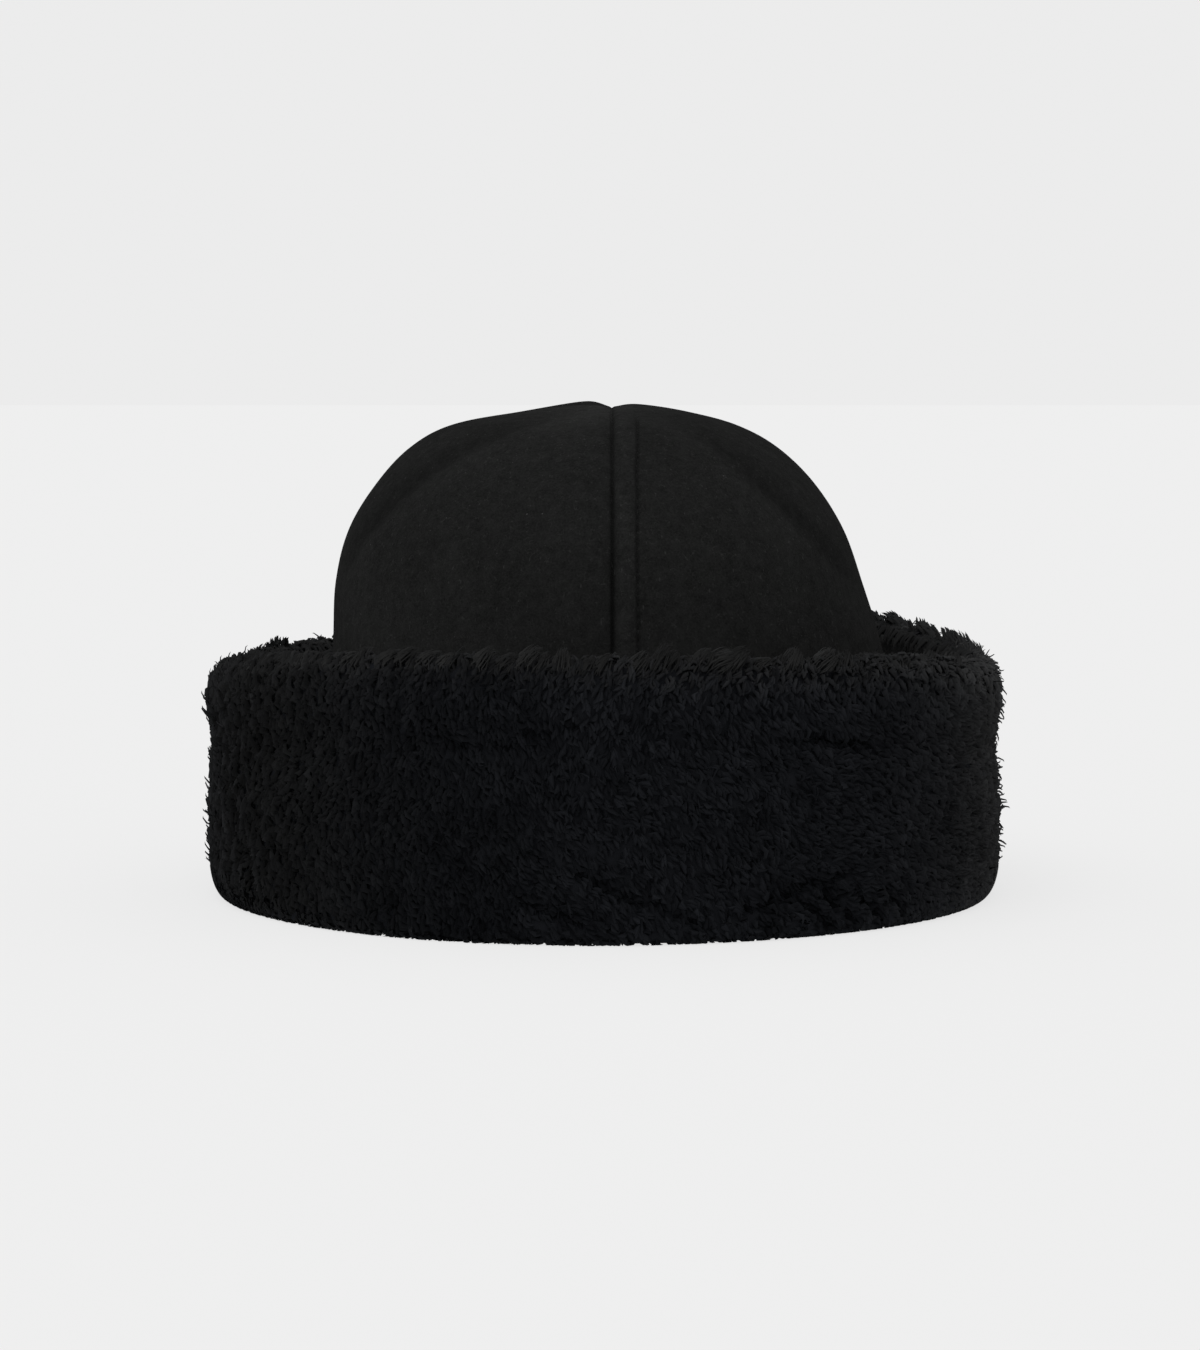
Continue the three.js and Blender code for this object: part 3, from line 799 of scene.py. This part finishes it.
def pile_locks(seed, spacing, clump_around, clump_along):
    """The roots, bends, tips, radii and tones of the locks all round the cuff. The roots stand on a
    loosely even grid. Each lock leans along the pile's lay, and its tip is drawn to that of the nearest
    clump, whose middles lie on a second, wider grid."""
    chance = np.random.default_rng(seed)
    columns = round(CUFF_LENGTH / spacing)
    rows = round(PILE_LENGTH / spacing)
    row, column = np.meshgrid(np.arange(rows), np.arange(columns), indexing="ij")
    row, column = row.ravel().astype(float), column.ravel().astype(float)
    stray = chance.uniform(-0.4, 0.4, (2, len(row)))
    bearing = (column + 0.5 * (row % 2) + stray[0]) / columns * 360
    share = (row + 0.5 + stray[1]) / rows
    keep = share > UNDERSIDE - 0.03
    bearing, share = bearing[keep] % 360, np.clip(share[keep], 0, 1)

    clump_columns = round(CUFF_LENGTH / clump_around)
    clump_rows = round(PILE_LENGTH / clump_along)
    drift = chance.uniform(0.1, 0.9, (2, clump_rows, clump_columns))
    clump_bearing = (np.arange(clump_columns)[None, :] + drift[0]) / clump_columns * 360
    clump_share = (np.arange(clump_rows)[:, None] + drift[1]) / clump_rows
    in_column = np.floor(bearing / 360 * clump_columns).astype(int)
    in_row = np.clip(np.floor(share * clump_rows).astype(int), 0, clump_rows - 1)
    nearest = np.full(len(bearing), np.inf)
    clump = np.zeros(len(bearing), int)
    for beside in (-1, 0, 1):
        for above in (-1, 0, 1):
            c = (in_column + beside) % clump_columns
            r = np.clip(in_row + above, 0, clump_rows - 1)
            turn = (clump_bearing[r, c] - bearing + 180) % 360 - 180
            across = turn / 360 * CUFF_LENGTH / clump_around
            distance = np.hypot(across, (clump_share[r, c] - share) * clump_rows)
            closer = distance < nearest
            nearest = np.where(closer, distance, nearest)
            clump = np.where(closer, r * clump_columns + c, clump)

    middles = clump_bearing.size
    clump_turn = chance.normal(0, 17, middles)
    clump_lean = chance.normal(0, 7, middles)
    turned = chance.uniform(size=middles) < pile_flip(clump_bearing.ravel())
    clump_turn = clump_turn + np.where(turned, 180, 0)
    clump_size = chance.uniform(0.8, 1.2, middles)
    clump_sway = chance.normal(0, 0.4, middles)
    clump_tone = np.clip(chance.normal(1, 0.15, middles), 0.65, 1.4)

    def leaning(at_bearing, at_share, which, spread):
        under = at_share < UNDERSIDE
        near_rim = step(at_share, RIM_START, 0.02)
        lay = pile_lay(at_bearing, at_share) + clump_turn[which] + spread[0]
        lean = np.where(under, UNDER_LEAN, LOCK_LEAN - RIM_LEAN * near_rim) + clump_lean[which] + spread[1]
        length = clump_size[which] * np.where(under, UNDER_LENGTH, LOCK_LENGTH) * (1 + spread[2])
        return *lock_tip(at_bearing, at_share, lay, lean, length), length

    none = np.zeros((3, middles))
    clump_tip = leaning(clump_bearing.ravel(), clump_share.ravel(), np.arange(middles), none)[3]
    count = len(bearing)
    stray_turn, stray_lean = chance.normal(0, 6, count), chance.normal(0, 3.5, count)
    spread = np.stack([stray_turn, stray_lean, chance.uniform(-0.12, 0.12, count)])
    often = 0.03 + 0.08 * np.abs(np.cos(np.radians(bearing))) ** 6
    loose = (chance.uniform(size=count) < often) & (share > UNDERSIDE + 0.06)
    spread[1] -= np.where(loose, LOOSE_LEAN, 0)
    spread[2] += np.where(loose, LOOSE_LENGTH, 0)
    root, out, flat, own_tip, length = leaning(bearing, share, clump, spread)
    pull = np.where(loose, LOOSE_PULL, CLUMP_PULL)[:, None]
    tip = own_tip * (1 - pull) + clump_tip[clump] * pull
    curl = chance.uniform(0.5, 0.8, count)[:, None] * length[:, None]
    sway = (clump_sway[clump] + chance.normal(0, 0.12, count))[:, None] * length[:, None]
    bend = root + out * curl + flat * curl * 0.35 + np.cross(out, flat) * sway
    slim = np.where(share < UNDERSIDE, 0.8, 1 - 0.25 * step(share, RIM_START, 0.02))
    radius = np.where(loose, LOOSE_RADIUS, chance.uniform(0.75, 1.05, count)) * slim
    tone = clump_tone[clump] * np.clip(chance.normal(1, 0.04, count), 0.8, 1.25)
    around = bearing / 360
    tone = tone * (1 + 0.15 * lumps(41, around, share, 200, 28) + 0.09 * lumps(42, around, share, 90, 12))
    # Painted light and shade round the cuff, and painted shade in the partings
    tone = tone * pile_painted_light(bearing, share) * (1 - PARTING_PAINTED_SHADE * parting_sinks(bearing, root[:, 2]))
    # A painted tint of the light
    tone = tone[:, None] * pile_painted_tint(bearing, share)
    return bearing, root - out * LOCK_DEPTH, bend, tip, radius, tone, out


# The rim's tufts, and where they stand longer or shorter than by rule: bearing, half width, change
TUFTS, TUFT_LOCKS, TUFT_LENGTH, TUFT_HALF_TURN = 120, 34, 7.8, 1.3
TUFT_TURNS = [(141, 8, -0.8), (157, 6, 0.3), (20, 12, 0.55)]


def rim_wealth(bearing):
    """How long the tufts stand: full at the front, more at the back and half at the two sides, following
    the square of the bearing's sine, and changed by the bells of TUFT_TURNS."""
    ends = np.sin(np.radians(bearing))
    return 0.5 + np.where(ends < 0, 0.5, 1.0) * ends**2 + bells(TUFT_TURNS, bearing % 360)


def rim_tufts(seed):
    """The ragged tufts along the rim: bundles of long, slim locks that rise and fall over to the right like
    small waves, their tips drawn together, and that stand up more and are thicker at the back."""
    chance = np.random.default_rng(seed)
    middle = (np.arange(TUFTS) + chance.uniform(-0.35, 0.35, TUFTS)) * 360 / TUFTS
    back = step(np.sin(np.radians(middle)), 0.3, 0.12)
    size = chance.uniform(0.55, 1.2, TUFTS)
    size = size + (0.9 - size) * 0.6 * back
    turn = chance.normal(44, 16, TUFTS)
    lean = chance.normal(56, 8, TUFTS) - 15 * back
    beside = chance.uniform(-1, 1, (TUFTS, TUFT_LOCKS))
    bearing = (middle[:, None] + TUFT_HALF_TURN * beside).ravel()
    rounded = np.sqrt(1 - 0.75 * beside.ravel() ** 2)
    share = chance.uniform(0.93, 0.995, (TUFTS, TUFT_LOCKS)).ravel()
    which = np.repeat(np.arange(TUFTS), TUFT_LOCKS)

    def reach(at_bearing, at_share, owner, stray, part):
        length = TUFT_LENGTH * size[owner] * rim_wealth(at_bearing) * part
        return *lock_tip(at_bearing, at_share, turn[owner] + stray, lean[owner], length), length[:, None]

    tuft_tip = reach(middle, np.full(TUFTS, 0.96), np.arange(TUFTS), np.zeros(TUFTS), 1)[3]
    stray = chance.normal(0, 12, len(which))
    root, out, flat, own_tip, length = reach(bearing, share, which, stray, rounded)
    pull = (0.5 - 0.35 * back)[which][:, None]
    tip = own_tip * (1 - pull) + tuft_tip[which] * pull
    sway = chance.normal(0, 0.12, len(which))[:, None] * length
    bend = root + (out * 0.55 - flat * 0.05) * length + np.cross(out, flat) * sway
    radius = chance.uniform(0.17, 0.3, len(which)) * (1 + 1.4 * back[which])
    # The tufts are painted lighter, a painted highlight where the rim faces the light from above
    tone = np.repeat(chance.uniform(1.5, 2.15, TUFTS) * (1 - 0.2 * back), TUFT_LOCKS)[:, None] * GREYER
    return bearing % 360, root - out * RIM_DEPTH, bend, tip, radius, tone, out


def rim_fall(seed, count):
    """Locks that fall over the rim's inner edge and cover the edge of the hide: each rises a little, runs
    inwards and ends lower than its root."""
    chance = np.random.default_rng(seed)
    bearing = chance.uniform(0, 360, count)
    root, right, up, out = pile_frame(bearing, chance.uniform(0.96, 1.0, count))
    turn = np.radians(chance.normal(90, 24, count))
    flat = np.cos(turn)[:, None] * right + np.sin(turn)[:, None] * up
    length = chance.uniform(5.0, 8.5, count)[:, None]
    bend = root + length * (0.45 * out + 0.5 * flat)
    tip = root + length * (0.92 * flat + np.array([0, 0, -0.55]))
    radius = chance.uniform(0.4, 0.75, count)
    tone = chance.uniform(1.0, 1.45, count)[:, None] * GREYER
    return bearing, root - out * RIM_DEPTH, bend, tip, radius, tone, out


class Wire:
    """One socket of a material, so that sums and products of sockets are written as formulas."""

    def __init__(self, tree, socket):
        self.tree = tree
        self.socket = socket

    def worked(self, operation, first, second):
        node = self.tree.nodes.new("ShaderNodeMath")
        node.operation = operation
        for place, value in enumerate((first, second)):
            if isinstance(value, Wire):
                self.tree.links.new(value.socket, node.inputs[place])
            else:
                node.inputs[place].default_value = value
        return Wire(self.tree, node.outputs[0])

    def __add__(self, other):
        return self.worked("ADD", self, other)

    def __sub__(self, other):
        return self.worked("SUBTRACT", self, other)

    def __rsub__(self, other):
        return self.worked("SUBTRACT", other, self)

    def __mul__(self, other):
        return self.worked("MULTIPLY", self, other)

    __radd__ = __add__
    __rmul__ = __mul__

    def __lt__(self, other):
        return self.worked("LESS_THAN", self, other)

    def __gt__(self, other):
        return self.worked("GREATER_THAN", self, other)


class Finish:
    """A material with one shader, and a method that adds any node to it."""

    def __init__(self, name, viewport, **settings):
        self.material = bpy.data.materials.new(name)
        self.material.use_nodes = True
        self.material.diffuse_color = (*viewport, 1)
        self.tree = self.material.node_tree
        self.shader = self.tree.nodes["Principled BSDF"]
        for socket, value in settings.items():
            self.shader.inputs[socket.replace("_", " ")].default_value = value

    def node(self, kind, settings=(), sockets=(), out=0):
        node = self.tree.nodes.new(kind)
        for key, value in dict(settings).items():
            setattr(node, key, value)
        for key, value in dict(sockets).items():
            if isinstance(value, Wire):
                self.tree.links.new(value.socket, node.inputs[key])
            else:
                node.inputs[key].default_value = value
        return Wire(self.tree, node.outputs[out])

    def feed(self, socket, wire):
        self.tree.links.new(wire.socket, self.shader.inputs[socket])

    def place(self):
        return self.node("ShaderNodeTexCoord", out="Object")

    def noise(self, place, scale, detail=2.0, roughness=0.5):
        sockets = {"Vector": place, "Scale": scale, "Detail": detail, "Roughness": roughness}
        return self.node("ShaderNodeTexNoise", {"noise_dimensions": "3D"}, sockets)

    def faded(self, value, low, high, to_low=0.0, to_high=1.0):
        sockets = {"Value": value, "From Min": low, "From Max": high, "To Min": to_low, "To Max": to_high}
        return self.node("ShaderNodeMapRange", {"interpolation_type": "SMOOTHSTEP"}, sockets)

    def mixed(self, share, first, second):
        """A colour between two others. Plain colours are given as three numbers."""
        pair = [c if isinstance(c, Wire) else (*c, 1) for c in (first, second)]
        return self.node("ShaderNodeMix", {"data_type": "RGBA"}, {0: share, 6: pair[0], 7: pair[1]}, 2)

    def scaled(self, colour, value):
        """A colour times a number, by Vector Math."""
        return self.node("ShaderNodeVectorMath", {"operation": "SCALE"}, {"Vector": colour, "Scale": value})

    def nearest(self, place, scale):
        """The distance to the nearest of scattered points."""
        sockets = {"Vector": place, "Scale": scale}
        return self.node("ShaderNodeTexVoronoi", {"feature": "F1"}, sockets, "Distance")

    def bump(self, height, distance, strength):
        sockets = {"Height": height, "Distance": distance, "Strength": strength}
        self.feed("Normal", self.node("ShaderNodeBump", (), sockets))


def suede_finish(name, colour, toned=True):
    """Black suede: a short nap in slow patches of tone, with a grain of fibres in many sizes, among them
    short pale squiggles along the level lines of a noise. Where it is toned it is also multiplied by each
    point's tone, which holds painted shade and painted highlights, and a few pale specks of lint are
    caught on it. Where it is not toned it is painted lighter as a whole."""
    finish = Finish(
        name, colour, Roughness=1.0, Specular_IOR_Level=0.0, Sheen_Weight=0.006, Sheen_Roughness=0.5,
    )
    place = finish.place()
    patches = finish.noise(place, 38, 3.0, 0.6)
    fibres = finish.noise(place, 260, 4.0, 0.8)
    grain = finish.noise(place, 1500, 2.0, 0.7)
    level = finish.noise(place, 640, 0.0, 0.5) - 0.5
    broken = finish.faded(finish.noise(place, 470, 1.0, 0.5), 0.5, 0.62)
    off_level = finish.node("ShaderNodeMath", {"operation": "ABSOLUTE"}, {0: level})
    squiggle = finish.faded(off_level, 0.0, 0.035, 1, 0)
    tone = 0.4 * patches + 1.2 * fibres + 1.15 * grain + 0.7 * squiggle * broken - 0.43
    if toned:
        # Each point's tone holds painted shade in the dents and along the seams, and painted highlights
        tone = tone * finish.node("ShaderNodeAttribute", {"attribute_name": "tone"}, (), "Fac")
    else:
        # The bare hide is painted lighter, to lift it out of the shade of the crown and the rim
        tone = tone * HIDE_PAINTED_LIGHT
    tint = tuple(part * share for part, share in zip(colour, SUEDE_TINT))
    nap = finish.scaled(tint, tone)
    if toned:
        picked = finish.noise(place, 95, 0.0, 0.5)
        speck = finish.nearest(place, 150)
        small = finish.nearest(place, 260)
        lint = 0.6 * (speck < 0.04) * (picked > 0.56) + 0.3 * (small < 0.055) * (picked < 0.48)
        for turn in LINT_TURNS:
            sockets = {"Vector": place, "Rotation": turn, "Scale": (1, 1, 0.22)}
            thread = finish.nearest(finish.node("ShaderNodeMapping", (), sockets), 230)
            lint = lint + 0.2 * finish.faded(thread, 0.03, 0.075, 1, 0)
        nap = finish.mixed(lint, nap, (0.06, 0.06, 0.06))
    finish.feed("Base Color", nap)
    finish.bump(0.6 * grain + 0.6 * fibres, 0.0003, 0.6)
    return finish.material


def wool_finish(name, colour, in_locks):
    """Black wool: its colour times the tone and hue of each lock, which hold painted light and shade, in slow
    patches, with fibres that run along the locks, or a plain grain of them where there are no locks."""
    finish = Finish(
        name, colour, Roughness=1.0, Specular_IOR_Level=0.0, Sheen_Weight=0.024,
        Sheen_Roughness=0.45, Sheen_Tint=(0.9, 0.93, 1.0, 1),
    )
    place = finish.place()
    patches = finish.noise(place, 30, 2.0, 0.5)
    # Each point's tone, which on the locks holds painted light and shade and a painted tint of the light
    lie = finish.node("ShaderNodeAttribute", {"attribute_name": "tone"}, (), "Color")
    if in_locks:
        strand = finish.node("ShaderNodeUVMap", {"uv_map": "Strand"})
        fibres = finish.noise(strand, 1.0, 1.0, 0.6)
    else:
        fibres = finish.noise(place, 1500, 2.0, 0.6)
    hue = finish.node("ShaderNodeVectorMath", {"operation": "MULTIPLY"}, {0: lie, 1: colour})
    finish.feed("Base Color", finish.scaled(hue, (1.55 + 0.2 * fibres) * (0.8 + 0.4 * patches)))
    finish.bump(fibres, 0.0002, 0.12)
    return finish.material


def thread_finish():
    """Black sewing thread, a little smoother than the suede, with a fine twist."""
    finish = Finish("black_thread", (0.006, 0.006, 0.006), Roughness=0.8, Specular_IOR_Level=0.03)
    place = finish.place()
    twist = finish.noise(place, 2600, 1.0, 0.5)
    finish.feed("Base Color", finish.mixed(twist, (0.003, 0.003, 0.003), (0.008, 0.008, 0.008)))
    finish.bump(twist, 0.0001, 0.5)
    return finish.material


def split_locks(sets, finish):
    """The locks in pieces by the side of the cuff that they stand on, so that none is too large."""
    names = ["right", "back_right", "back_left", "left", "front_left", "front_right"]
    bearing, *locks = (np.concatenate(parts) for parts in zip(*sets))
    sector = np.floor((bearing % 360) / (360 / len(names))).astype(int)
    for number, name in enumerate(names):
        mine = sector == number
        points, triangles, maps, tones, normals = lock_mesh(*(values[mine] for values in locks))
        make_piece(f"pile_locks_{name}", points, triangles, finish, maps, tones, normals)


# The pieces and their finishes
slots = {row["slot"]: tuple(row["base_color"][:3]) for row in frame["record"]["materials"]}
crown_finish = suede_finish("black_suede", slots["crown_suede"])
hide_finish = suede_finish("black_suede_hide_painted_lighter", slots["cuff_suede"], toned=False)
base_finish = wool_finish("black_wool_roots", slots["wool_pile"], in_locks=False)
lock_finish = wool_finish("black_wool_locks", slots["wool_pile"], in_locks=True)

for panel in ("front_left", "front_right", "back_left", "back_right"):
    stitched = panel == "front_right"
    piece = crown_panel(
        panel,
        rings=210 if stitched else 150,
        counts=(9, 40, 44) if stitched else (9, 34, 13),
        zones=(3, 11) if stitched else (3, 5),
        finish=crown_finish,
    )
    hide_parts(f"crown_panel_{panel}")
topstitching(thread_finish())

hide = hide_ring(hide_finish)
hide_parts("cuff_hide")

base = pile_base(base_finish)
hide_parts("cuff_fur")
short_locks = pile_locks(seed=5, spacing=1.72, clump_around=2.0, clump_along=2.8)
split_locks([short_locks, rim_tufts(seed=6), rim_fall(seed=7, count=3000)], lock_finish)

# The tones of sky and floor, how much light the floor gives off, and its half width in metres
SKY_TONE, FLOOR_TONE, FLOOR_GLOW, FLOOR_REACH = 0.838, 0.12, 0.725, 40

# The light: strength, and in degrees how wide it spreads and how far it is tilted to the front and side
LIGHT_STRENGTH, LIGHT_SPREAD, LIGHT_TILT, LIGHT_TURN = 1.1, 50, 28, -14

# The camera's place in metres
CAMERA_PLACE = (-0.0015, -1.370, 0.171)


def stage_and_light():
    """A wide pale floor that meets an even pale sky, and one large soft light from above, a little to the
    left and in front."""
    mesh = bpy.data.meshes.new("floor")
    corners = [(-FLOOR_REACH, -FLOOR_REACH), (FLOOR_REACH, -FLOOR_REACH), (FLOOR_REACH, FLOOR_REACH)]
    corners.append((-FLOOR_REACH, FLOOR_REACH))
    mesh.from_pydata([(x, y, 0) for x, y in corners], [], [(0, 1, 2, 3)])
    floor = add_object("floor", mesh)
    finish = Finish(
        "pale_floor", (0.8, 0.8, 0.8), Roughness=1.0, Specular_IOR_Level=0.0, Emission_Strength=FLOOR_GLOW,
        Base_Color=(FLOOR_TONE, FLOOR_TONE, FLOOR_TONE, 1), Emission_Color=(1, 1, 1, 1),
    )
    mesh.materials.append(finish.material)

    world = bpy.data.worlds.new("studio")
    world.use_nodes = True
    sky = world.node_tree.nodes["Background"].inputs
    sky["Color"].default_value = (SKY_TONE, SKY_TONE, SKY_TONE, 1)
    sky["Strength"].default_value = 1.0
    bpy.context.scene.world = world

    light = bpy.data.lights.new("overhead", "SUN")
    light.energy = LIGHT_STRENGTH
    light.angle = math.radians(LIGHT_SPREAD)
    lamp = add_object("overhead", light)
    lamp.rotation_euler = (math.radians(LIGHT_TILT), math.radians(LIGHT_TURN), 0)


def photo_camera():
    """The photograph's view: level with the top of the cap and looking a little down."""
    focal_pixels, frame_height, sensor = 4018, 1350, 36
    horizon_pixel = 388.5
    camera = bpy.data.cameras.new("camera")
    camera.sensor_fit = "AUTO"
    camera.sensor_width = sensor
    camera.lens = focal_pixels / frame_height * sensor
    camera.clip_start, camera.clip_end = 0.05, 200
    pitch = math.atan((frame_height / 2 - horizon_pixel) / focal_pixels)
    holder = add_object("camera", camera)
    holder.location = CAMERA_PLACE
    holder.rotation_euler = (math.pi / 2 - pitch, 0, 0)
    bpy.context.scene.camera = holder
    bpy.context.scene.view_settings.view_transform = "Standard"


stage_and_light()
photo_camera()
